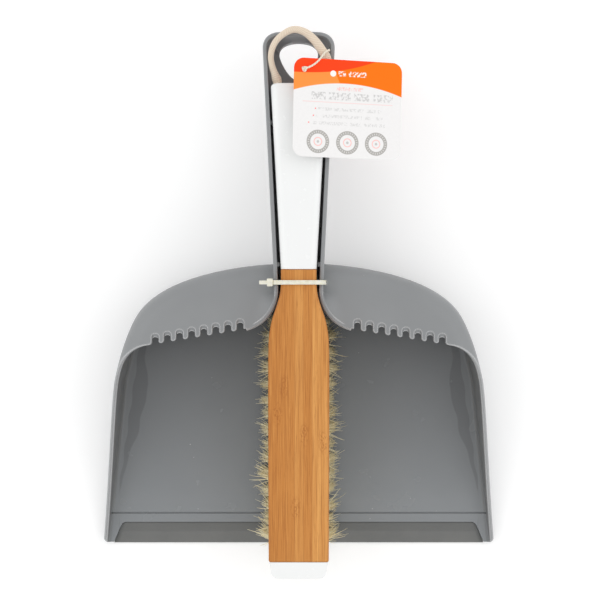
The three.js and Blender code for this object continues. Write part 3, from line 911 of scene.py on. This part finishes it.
def hood_and_tray():
    stations = hood_stations()
    profiles = [station_profile(run, roof_end) for run, *roof_end in stations]
    # the hood's rounded ends, where its edge runs down into the side walls
    end_line = bezier(COMB_OUTER, (101.5, -25.5), (110.5, -34), (111.8, -46), 200)
    end_runs = [project_run(point) for point in end_line]
    end_insets = [math.dist(point, on_outline(run)[0]) for point, run in zip(end_line, end_runs)]
    for k in range(1, 41):
        last = lerp(stations[-1][0], end_runs[-1], k / 40)
        inset = float(np.interp(last, end_runs, end_insets))
        wall_share = lerp(0.945, 0.8, smooth_step(k / 40))
        thick = lerp(ROOF_THICK, PAN_WALL, smooth_step(k / 40))
        profiles.append(station_profile(last, None, run_of_inset(inset), wall_share, thick))
    for k in range(1, 71):
        run = lerp(last, OUTLINE_RUN[-1], k / 70)
        rim_height = table_value(RIM[::-1], on_outline(run)[0][1])
        profiles.append(station_profile(run, None, run_of_height(rim_height), thick=PAN_WALL))
    return profiles


def mirrored_skin(profiles):
    """Both halves of a skin whose stations start at the middle, welded there, with its front closed."""
    rows, columns = len(profiles), len(profiles[0])
    verts = [p for profile in profiles for p in profile]
    faces = strip_faces(rows, columns)
    count = len(verts)
    verts += [(-x, y, z) for x, y, z in verts]
    faces += [tuple(count + i for i in reversed(face)) for face in faces]
    right = [(rows - 1) * columns + j for j in range(columns)]
    left = [count + i for i in right]
    faces.append(tuple(right[1:] + left[1:-1][::-1] + [left[0]]))
    return verts, faces


def front_crop():
    """What is cut away in front of the tray, so that its front is straight and its corners round."""
    radius = 3.4
    cx, cy = 122.75 - radius, PAN_FRONT + radius
    right = [(0.0, PAN_FRONT)]
    right += [(cx + radius * sine, cy - radius * cosine) for sine, cosine in quarter(10)]
    right += [(130.0, cy), (130.0, PAN_FRONT - 9), (0.0, PAN_FRONT - 9)]
    return grey_prism(mirror_outline(right), -5, 30)


def channel_walls():
    """Walls of the channel with the lips that run on from them round the bell, in one ribbon."""
    inner = bell_line(26) + channel_line()
    right = [(point, (ty, -tx)) for point, (tx, ty) in zip(inner, directions(inner))]
    right[-1] = (inner[-1], (0.0, 1.0))
    left = [((-p[0], p[1]), (-n[0], n[1])) for p, n in reversed(right[:-1])]
    # the rounded top edge, as distances in from the wall's face and down from its top
    corner = ((0.0, 0.8), (0.12, 0.4), (0.4, 0.1), (0.8, 0.0))
    sections = []
    for (x, y), (nx, ny) in right + left:
        in_handle = smooth_step((y - 4.0) / 5.0)
        top = HOOD_TOP + 0.7 * smooth_step((y - COMB_INNER[1]) / 3.5) + lip_rise(y) * 0.93
        low = lerp(HOOD_TOP - ROOF_THICK - 0.5, CHANNEL_UNDER, in_handle)
        floor = lerp(low + 0.4, CHANNEL_FLOOR_TOP, in_handle)
        at_end = smooth_step((y - 146.0) / 13.0)
        round_in = lerp(lerp(0.3, 1.6, in_handle), 13.0, at_end)
        shape = [(CHANNEL_WALL, low), (CHANNEL_WALL, lerp(low, top, 0.5))]
        shape += [(CHANNEL_WALL - inset, top - drop) for inset, drop in corner]
        shape += [(inset, top - drop) for inset, drop in reversed(corner)]
        shape.append((0.0, lerp(floor + round_in, top - 0.8, 0.5)))
        shape += [(-round_in * (1 - cosine), floor + round_in * (1 - sine)) for sine, cosine in quarter(8)]
        shape.append((-round_in, low))
        sections.append([(x + nx * out, y + ny * out, z) for out, z in shape])
    return make_piece("channel_walls", *loft(sections), GREY)


def channel_plan(start_y, square):
    """The channel out to the middle of its walls. square runs its sides straight on to start_y."""
    middle = offset_line([(NECK_HALF, NECK_Y)] + channel_line(), CHANNEL_WALL / 2)
    middle[-1] = (0.0, middle[-1][1])
    start = [(0.0, start_y), (middle[0][0], start_y)] if square else [(0.0, start_y)]
    return mirror_outline(start + middle)


def channel_rib(y, handle_half):
    """A cross rib with a U cut-out that the brush's handle lies in."""
    wall = NECK_HALF + (y - NECK_Y) * (CHANNEL_END_HALF - NECK_HALF) / 144 + CHANNEL_WALL / 2
    inner = handle_half + 0.6
    low, seat, top = CHANNEL_FLOOR_TOP - 1.0, HANDLE_UNDER - 0.7, 56.5
    outline = [(wall, low), (wall, top), (inner + 0.5, top), (inner, top - 0.5), (inner, seat + 1.5)]
    outline += [(inner - 0.5, seat + 0.5), (inner - 1.5, seat)]
    outline += [(-x, z) for x, z in reversed(outline)]
    return make_piece("rib", *loft([[(x, y + dy, z) for x, z in outline] for dy in (0.0, RIB_THICK)]), GREY)


def hang_hole():
    """The shield-shaped hole."""
    half = [(0.0, 135.8)]
    half += bezier((0, 135.8), (5.5, 136.2), (10.6, 146), (11.6, 150.4), 14)
    half += bezier((11.6, 150.4), (12.6, 156.4), (6, 158.6), (0, 158.6), 14)
    return grey_prism(mirror_outline(half), 30.0, 60.0)


def lip_seat():
    """The cut-out at the front of the floor that the soft lip lies in."""
    rear, front, gap = LIP_HIGH[1], LIP_LOW[1], 0.15
    right = [(0.0, rear + gap), (109.6, rear + gap), (111.2, rear - 0.5), (112.1, rear - 1.7)]
    right += [(LIP_HIGH[0] + gap, front), (LIP_HIGH[0] + gap, front - 20), (0.0, front - 20)]
    return grey_prism(mirror_outline(right), -2, 5.2)


def make_dustpan():
    pan = make_piece("pan_moulding", *mirrored_skin(hood_and_tray()), GREY, weld=0.001)
    boolean(pan, comb_cutter(1))
    boolean(pan, comb_cutter(-1))
    boolean(pan, grey_prism(channel_plan(5.0, True), 40.4, 90))
    boolean(pan, front_crop())
    boolean(pan, box_piece((-118.2, FLOOR_STEP_Y - 1.0, 2.3), (118.2, FLOOR_STEP_Y, 6.0)))
    boolean(pan, lip_seat())
    boolean(pan, channel_walls(), "UNION")
    floor = grey_prism(channel_plan(NECK_Y, False), CHANNEL_UNDER + 0.03, CHANNEL_FLOOR_TOP - 0.03)
    boolean(pan, floor, "UNION")
    boolean(pan, channel_rib(22.8, 10.7), "UNION")
    boolean(pan, channel_rib(107.8, 15.4), "UNION")
    boolean(pan, hang_hole())
    for x in (-TIE_LEG_X, TIE_LEG_X):
        boolean(pan, box_piece((x - 0.8, TIE_Y - 1.55, 43), (x + 0.8, TIE_Y + 1.55, 90)))
    finish_mesh(pan.data, 32)
    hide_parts("dustpan")
    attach(pan, "pan")


make_dustpan()


def make_soft_lip():
    """The soft front strip: slanting ends, a small step across it and a thin rounded front."""
    rear, front = LIP_HIGH[1], LIP_LOW[1]
    section = [
        (rear, 0.25), (rear, 2.1), (rear - 0.3, 2.4), (rear - 2.8, 2.4), (rear - 5.5, 2.38),
        (rear - 5.8, 2.3), (rear - 6.1, 2.02), (rear - 6.5, 1.95), (rear - 9, 1.62),
        (front + 1.2, 1.12), (front + 0.4, 0.95), (front, 0.5), (front + 0.4, 0.08), (front + 1.2, 0.0),
        (rear - 6, 0.0), (rear - 0.3, 0.0),
    ]
    ends = [(front, LIP_HIGH[0] - 0.4), (front + 0.5, LIP_HIGH[0] - 0.2), (rear - 1.7, 111.95)]
    ends += [(rear - 0.5, 111.05), (rear, 109.5)]
    shares = [k / 20 for k in range(20)] + [0.985, 0.995, 0.9985, 1.0]
    rings = []
    for share in [-s for s in shares[:0:-1]] + shares:
        from_end = (1 - abs(share)) / 0.0015
        thin = min(1.0, 0.45 + 0.55 * math.sqrt(from_end)) if from_end < 1 else 1.0
        rings.append([(share * table_value(ends, y), y, 1.2 + (z - 1.2) * thin) for y, z in section])
    lip = make_piece("front_lip", *loft(rings), soft_lip_material(), angle=40)
    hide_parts("soft_lip")
    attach(lip, "pan")


make_soft_lip()

# ---------------------------------------------------------------- brush

# half widths of the brush along Y, from its front end to the start of the white handle
BRUSH_SIDE = catmull([
    (-152.7, 17.9), (-100, 18.1), (-48, 18.2), (-28, 18.1), (-18.5, 17.7),
    (-8.4, 15.8), (-1.6, 13.45), (6, 11.25), (12, 10.65), (21.3, 10.65),
], 10)


def rounded_section(half, low, high, low_round, high_round, steps=6):
    """A ring across the brush: (x, z), anticlockwise from the lower right corner."""
    ring = []
    corners = (
        (half, low, low_round, -90),
        (half, high, high_round, 0),
        (-half, high, high_round, 90),
        (-half, low, low_round, 180),
    )
    for x, z, radius, start in corners:
        cx = x - math.copysign(radius, x)
        cz = z + radius if z == low else z - radius
        for k in range(steps + 1):
            turn = math.radians(start + 90 * k / steps)
            ring.append((cx + radius * math.cos(turn), cz + radius * math.sin(turn)))
    return ring


def ring_across(y, *section, **steps):
    """A rounded section of the brush at a place along Y."""
    return [(x, y, z) for x, z in rounded_section(*section, **steps)]


def handle_half(y):
    share = (y - BAMBOO_HIGH[1]) / (HANDLE_END - BAMBOO_HIGH[1])
    return lerp(HANDLE_START_HALF, HANDLE_END_HALF, share)


def make_handle():
    start, cap = BAMBOO_HIGH[1] + 0.06, 2.6
    rings = []
    for y in [start, start + 0.15] + [lerp(start + 0.5, HANDLE_END - cap, k / 40) for k in range(41)]:
        shrink = 0.25 if y == start else 0.0
        half = handle_half(y) - shrink
        rings.append(ring_across(y, half, HANDLE_UNDER + shrink, BRUSH_TOP - shrink, 4.5, 4.2))
    for sine, cosine in quarter(12, 1):
        y = HANDLE_END - cap + cap * sine
        half, flat = handle_half(y) - cap * (1 - cosine), 1.2 * (1 - cosine) ** 1.6
        rings.append(ring_across(y, half, HANDLE_UNDER + flat, BRUSH_TOP - flat, 4.0, 3.8))
    return make_piece("brush_moulding", *loft(rings), WHITE)


def brush_base():
    """The thin plate under the bamboo, which the tufts stand in."""
    rings = []
    for k in range(60):
        y = lerp(BRUSH_FRONT + 1.0, BAMBOO_HIGH[1] + 0.9, k / 59)
        half = table_value(BRUSH_SIDE, y)
        if y < BAMBOO_LOW[1]:
            half = lerp(15.6, 17.3, (y - BRUSH_FRONT) / (BAMBOO_LOW[1] - BRUSH_FRONT))
        rings.append(ring_across(y, half, BRUSH_UNDER, BRUSH_BASE_TOP, 1.4, 0.05))
    return make_piece("base", *loft(rings), WHITE)


def brush_tip():
    """The white end in front of the bamboo, rounded at its front."""
    rear, front_round = BAMBOO_LOW[1] - 0.06, 5.0

    def half_at(y):
        return lerp(16.0, 17.4, (y - BRUSH_FRONT) / (rear - BRUSH_FRONT))

    rings = []
    for sine, cosine in reversed(quarter(13)):
        y = BRUSH_FRONT + front_round * (1 - sine)
        half, flat = half_at(y) - 4.2 * (1 - cosine) ** 1.3, 1.3 * (1 - cosine) ** 2.5
        rings.append(ring_across(y, half, BRUSH_UNDER + flat, BRUSH_TOP - flat, 2.0, 1.6))
    for share, shrink in ((0.5, 0.0), (0.97, 0.0), (1.0, 0.2)):
        y = lerp(BRUSH_FRONT + front_round, rear, share)
        rings.append(ring_across(y, half_at(y) - shrink, BRUSH_UNDER + shrink, BRUSH_TOP - shrink, 2.0, 1.6))
    return make_piece("tip", *loft(rings), WHITE)


def make_brush_body():
    body = make_handle()
    boolean(body, brush_base(), "UNION")
    boolean(body, brush_tip(), "UNION")
    for name in SCREWS:
        low, high = node_box(name)
        radius = (high[0] - low[0]) / 2 + 0.3
        centre = (low[1] + high[1]) / 2
        turns = [k / 24 * math.tau for k in range(24)]
        ring = [(radius * math.cos(turn), centre + radius * math.sin(turn)) for turn in turns]
        boolean(body, make_piece("cutter", *prism(ring, low[2] - 2, high[2] + 0.2), WHITE))
    finish_mesh(body.data, 32)
    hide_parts("brush_body")
    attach(body, "brush")


make_brush_body()


def make_bamboo():
    low, high = BAMBOO_LOW[2], BAMBOO_HIGH[2]
    start, end = BAMBOO_LOW[1], BAMBOO_HIGH[1]
    rings = []
    ys = [start, start + 0.12, start + 0.4, start + 0.9]
    ys += [lerp(start + 1.6, end - 1.2, k / 110) for k in range(111)]
    ys += [end - 0.6, end - 0.25, end]
    for y in ys:
        from_end = min(y - start, end - y)
        ease = 0.7 * (1 - math.sqrt(max(0.0, 1 - (1 - min(from_end / 0.9, 1.0)) ** 2)))
        half = table_value(BRUSH_SIDE, y) - ease * 0.6
        rings.append(ring_across(y, half, low, high - ease, 0.15, 2.0, steps=5))
    back = make_piece("bamboo_plate", *loft(rings), bamboo_material(), angle=40)
    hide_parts("bamboo_back")
    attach(back, "brush")


make_bamboo()

# ---------------------------------------------------------------- bristles

BRISTLE = bristle_material()
BRISTLE_RADIUS = 0.23
BRISTLE_SPANS = 6
STRAY_SHARE = 0.10


def bristle_tuft(node, centre, lean, count, seed):
    """One tuft of separate wavy bristles, in a few locks, that stands for one CAD tuft."""
    chance = random.Random(seed)
    low, high = node_box(node)
    top, tips = high[2] + 0.25, low[2] + 0.3
    lean *= 0.85 + 0.3 * chance.random()
    sway = chance.gauss(0, 0.9)
    verts, faces, tones = [], [], []
    locks = []
    for _ in range(max(count // 16, 3)):
        lock_ray, lock_out = chance.random() * math.tau, math.sqrt(chance.random())
        locks.append((lock_ray, lock_out, chance.gauss(0, 1.1), chance.gauss(0, 1.3), chance.random()))
    for _ in range(count):
        lock_ray, lock_out, lock_x, lock_y, lock_tone = chance.choice(locks)
        ray = lock_ray + chance.gauss(0, 0.45)
        out = min(max(lock_out + chance.gauss(0, 0.22), 0.0), 1.0)
        root = (centre[0] + 2.2 * out * math.cos(ray), centre[1] + 2.2 * out * math.sin(ray))
        stray = chance.random() < STRAY_SHARE
        spread_x = lean * (0.72 + 0.3 * chance.random()) + 1.5 * out * math.cos(ray)
        spread_x = spread_x + 0.6 * lock_x + chance.gauss(0, 0.3)
        spread_y = sway + 1.3 * out * math.sin(ray) + 0.6 * lock_y + chance.gauss(0, 0.35)
        if stray:
            spread_x *= 1.15 + 0.55 * chance.random()
            spread_y += chance.gauss(0, 3.5)
        bend = 0.85 + 0.5 * chance.random()
        curl_x, curl_y = chance.gauss(0, 0.5), chance.gauss(0, 0.6)
        curl_start = chance.random() * math.tau
        drop = (top - tips) * (0.86 + 0.14 * chance.random())
        if stray:
            drop *= 0.75 + 0.2 * chance.random()
        tone = 0.55 * chance.random() + 0.45 * lock_tone
        radius = BRISTLE_RADIUS * (0.75 + 0.5 * chance.random())
        first = len(verts)
        for k in range(BRISTLE_SPANS + 1):
            t = k / BRISTLE_SPANS
            wave = t * math.sin(curl_start + 4.2 * t)
            x = root[0] + spread_x * t**bend + curl_x * wave
            y = root[1] + spread_y * t**bend + curl_y * wave
            thin = radius * (1 - 0.5 * t)
            for side in range(3):
                turn = side / 3 * math.tau
                verts.append((x + thin * math.cos(turn), y + thin * math.sin(turn), top - drop * t))
                tones.append(tone)
        faces += strip_faces(BRISTLE_SPANS + 1, 3, closed=True, first=first)
        last = first + 3 * BRISTLE_SPANS
        faces += [(first + 2, first + 1, first), (last, last + 1, last + 2)]
    mesh = bpy.data.meshes.new("bristles_" + node[5:])
    mesh.from_pydata([(x * MM, y * MM, z * MM) for x, y, z in verts], [], faces)
    attribute = mesh.attributes.new("tone", "FLOAT", "POINT")
    attribute.data.foreach_set("value", tones)
    finish_mesh(mesh, 180)
    mesh.materials.append(BRISTLE)
    piece = bpy.data.objects.new(mesh.name, mesh)
    bpy.context.scene.collection.objects.link(piece)
    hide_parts(node)
    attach(piece, "brush")


def make_bristles():
    names = sorted(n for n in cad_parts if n.startswith("tuft_"))
    for seed, name in enumerate(names):
        low, high = node_box(name)
        middle_y = (low[1] + high[1]) / 2
        if "middle" in name:
            bristle_tuft(name, (0.0, middle_y), 0.0, 60, seed)
            continue
        side = 1 if "right" in name else -1
        lean = side * (2.4 if name.endswith("_1") else 7.4)
        bristle_tuft(name, (side * OUTER_TUFT_X, middle_y), lean, 270, seed)


make_bristles()

# ---------------------------------------------------------------- rope, string, tag, tie

ROPE_ROUTE = [
    (-12.7, 132.2, 56), (-13.0, 134.2, 56.1), (-14.0, 137, 57.2), (-16.0, 143, 58.8), (-16.5, 149, 61.2),
    (-14.2, 155.5, 63), (-9, 160.8, 63.2), (-3, 163.4, 63.4), (3.5, 161.9, 63.4), (9, 157.4, 63.2),
    (13.4, 151.6, 63.2), (16.6, 146.2, 63), (16.9, 141.5, 62.6), (15.4, 137, 59.4), (13, 134.2, 56.3),
    (12.6, 132.2, 56),
]
# how wide the woven tape lies along its length: gathered at its left end, flat at its right
ROPE_WIDTHS = (
    (0, 1.05), (3, 1.2), (7, 0.86), (14, 0.74), (30, 0.78), (44, 0.9), (58, 1.12), (70, 1.16), (90, 1.0),
)
STRING_ROUTE = [
    (14.6, 148.6, 60.1), (16.6, 150.0, 60.3), (18.0, 151.0, 62.2), (17.8, 150.9, 64.8), (16.0, 149.6, 66.4),
    (14.0, 147.2, 67.4), (12.2, 144.6, 69.0), (9.6, 142.0, 70.6), (6.4, 140.0, 71.5), (4.2, 139.2, 71.6),
    (3.3, 138.9, 70.4), (3.6, 139.0, 68.9), (5.8, 140.2, 67.6), (9.4, 143.0, 66.6), (12.2, 145.6, 66.3),
]


def cord_mesh(name, path, section, material, columns):
    """A closed tube along path, and its length.

    section(along, turn) gives its two half widths. Its UV "cord" is (millimetres along, turns).
    """
    run = run_along(path)
    tangents = tangents_of(path, run)
    normal = np.cross(tangents[0], (0.0, 0.0, 1.0))
    normal /= np.linalg.norm(normal)
    rings = []
    for i, point in enumerate(path):
        normal = normal - tangents[i] * float(np.dot(normal, tangents[i]))
        normal /= np.linalg.norm(normal)
        across = np.cross(tangents[i], normal)
        ring = []
        for k in range(columns):
            turn = k / columns
            half_a, half_b = section(run[i], turn)
            angle = turn * math.tau
            ring.append(point + normal * half_a * math.cos(angle) + across * half_b * math.sin(angle))
        rings.append(ring)
    piece = make_piece(name, *loft(rings), material, angle=60)
    mesh = piece.data
    layer = mesh.uv_layers.new(name="cord")
    for face in mesh.polygons:
        turns = [(mesh.loops[j].vertex_index % columns) / columns for j in face.loop_indices]
        wraps = max(turns) - min(turns) > 0.5
        for j, turn in zip(face.loop_indices, turns):
            if wraps and turn < 0.5:
                turn += 1.0
            layer.data[j].uv = (run[mesh.loops[j].vertex_index // columns], turn)
    return piece, float(run[-1])


def make_rope():
    path = catmull(ROPE_ROUTE, 22)
    half = ROPE_DIAMETER / 2

    def section(along, turn):
        swell = 1 + 0.012 * math.sin(math.tau * (along * 0.8 + turn * 8))
        return (half * table_value(ROPE_WIDTHS, along) * swell, half * 0.78 * swell)

    material = woven("cotton_rope", (0.66, 0.53, 0.395), (0.85, 0.74, 0.60), 0.8, 8.0, 0.09)
    rope, length = cord_mesh("cotton_rope_loop", path, section, material, 64)
    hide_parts("hang_loop")
    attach(rope, "brush")


def make_knot(material):
    """The string's knot over the tag's hole: a small trefoil."""
    path = []
    for k in range(73):
        t = k / 72 * math.tau * 0.985
        x = math.sin(t) + 2 * math.sin(2 * t)
        y = math.cos(t) - 2 * math.cos(2 * t)
        path.append((TAG_HOLE[0] + 0.46 * x, TAG_HOLE[1] + 0.46 * y, 71.5 - 0.5 * math.sin(3 * t)))
    knot, _ = cord_mesh("tag_string_knot", np.array(path), lambda along, turn: (0.5, 0.5), material, 12)
    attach(knot, "tag")
    return knot


def paint_node(name, material):
    """Gives a CAD solid its material."""
    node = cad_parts[name]
    node.data.materials.clear()
    node.data.materials.append(material)
    return node


def make_string_and_tag():
    path = catmull(STRING_ROUTE, 14)
    half = STRING_DIAMETER / 2

    def section(along, turn):
        ply = abs(math.cos(math.pi * (turn * 2 - along * 0.55)))
        radius = half * (0.82 + 0.18 * ply)
        return (radius, radius)

    material = woven("cotton_string", (0.66, 0.57, 0.42), (0.92, 0.86, 0.74), 0.55, 2.0, 0.08)
    string, length = cord_mesh("cotton_tag_string", path, section, material, 16)
    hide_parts("tag_string")
    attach(string, "tag")
    knot = make_knot(material)
    tag = paint_node("swing_tag", tag_material())


make_rope()
make_string_and_tag()


def make_tie():
    """Cable tie: a band over the brush, its head and tail at the left, its legs down through the hood."""
    half, wide = TIE_THICK / 2, TIE_WIDTH / 2
    route = [(TIE_LEG_X, TIE_LEG_END), (TIE_LEG_X, 45.0), (TIE_LEG_X, 55.0), (TIE_LEG_X - 0.05, 59.6)]
    route += [(TIE_LEG_X - 0.7, 61.4), (TIE_LEG_X - 2.4, 62.9), (11.8, 64.1), (10.3, 64.75), (8.0, 64.9)]
    route += [(4.0, 64.95), (0.0, 64.97)]
    route = route + [(-x, z) for x, z in reversed(route[:-1])]
    centre = catmull(route, 4)
    # half of the band's section, with the raised edge along its outer face
    shape = [(wide, half - 0.15), (wide - 0.15, half), (0.75, half), (0.6, half - 0.2)]
    shape = shape + [(-w, h) for w, h in reversed(shape)]
    under = [(wide - 0.2, -half), (wide, -half + 0.2)]
    shape = [(-w, h) for w, h in reversed(under)] + under + shape
    rings = []
    for (x, z), (tx, tz) in zip(centre, tangents_of(centre)):
        rings.append([(x + tz * h, TIE_Y + w, z - tx * h) for w, h in shape])
    nylon = nylon_material()
    tie = make_piece("nylon_tie", *loft(rings), nylon)

    def add(name, ends):
        """Joins on a block that runs along X through rounded sections."""
        rings = [[(x, TIE_Y + w, z) for w, z in rounded_section(*section)] for x, *section in ends]
        boolean(tie, make_piece(name, *loft(rings), nylon), "UNION")

    head = ((-19.0, -0.5), (-18.8, -0.12), (-18.5, 0.0), (-15.9, 0.0), (-15.6, -0.12), (-15.4, -0.5))
    add("head", [(x, 2.35 + grow, 58.2 - grow, 63.0 + grow, 0.7, 0.7) for x, grow in head])
    tail = []
    lifts = ((-18.4, 0.0), (-20.5, 0.05), (-22.5, 0.15), (-23.3, 0.2), (-23.55, 0.2))
    for x, lift in lifts:
        narrow = 0.35 if x == lifts[-1][0] else 0.0
        low, high = 60.2 + lift + narrow * 0.4, 61.3 + lift - narrow * 0.4
        tail.append((x, wide - 0.15 - narrow, low, high, 0.2, 0.2))
    add("tail", tail)
    finish_mesh(tie.data, 35)
    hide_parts("cable_tie")
    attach(tie, "tie")


make_tie()

screw_zinc = screw_material()
for screw in SCREWS:
    paint_node(screw, screw_zinc)

# ---------------------------------------------------------------- floor and light


def make_stage():
    mesh = bpy.data.meshes.new("floor")
    reach = 6.0
    corners = [(-reach, -reach, 0), (reach, -reach, 0), (reach, reach, 0), (-reach, reach, 0)]
    mesh.from_pydata(corners, [], [(0, 1, 2, 3)])
    floor = bpy.data.objects.new("floor", mesh)
    floor.location.z = -0.0005
    bpy.context.scene.collection.objects.link(floor)
    # it glows a little, so that it is white out to the picture's edge
    m = Nodes("floor_white", 0.9, (0.99, 0.99, 0.99))
    m.fix({"Emission Color": (1, 1, 1, 1), "Emission Strength": 0.07})
    mesh.materials.append(m.material)


def area_light(name, location, target, size, power):
    data = bpy.data.lights.new(name, "AREA")
    data.shape = "RECTANGLE"
    data.size, data.size_y = size
    data.energy = power
    light = bpy.data.objects.new(name, data)
    light.location = location
    direction = Vector(target) - Vector(location)
    light.rotation_euler = direction.to_track_quat("-Z", "Y").to_euler()
    bpy.context.scene.collection.objects.link(light)


def make_light():
    world = bpy.data.worlds.new("studio")
    bpy.context.scene.world = world
    world.use_nodes = True
    background = world.node_tree.nodes["Background"]
    background.inputs["Color"].default_value = (1, 1, 1, 1)
    background.inputs["Strength"].default_value = 0.86
    area_light("left_softbox", (-1.5, 0.3, 1.2), (0, 0, 0), (1.2, 1.8), 5)
    area_light("right_softbox", (1.5, 0.3, 1.2), (0, 0, 0), (1.2, 1.8), 5)
    area_light("rear_softbox", (0, 1.6, 1.2), (0, 0, 0), (1.8, 0.8), 2.5)
    area_light("front_softbox", (0, -1.7, 1.1), (0, -0.1, 0), (2.0, 0.8), 3.5)


make_stage()
make_light()
bpy.context.scene.view_settings.view_transform = "Standard"
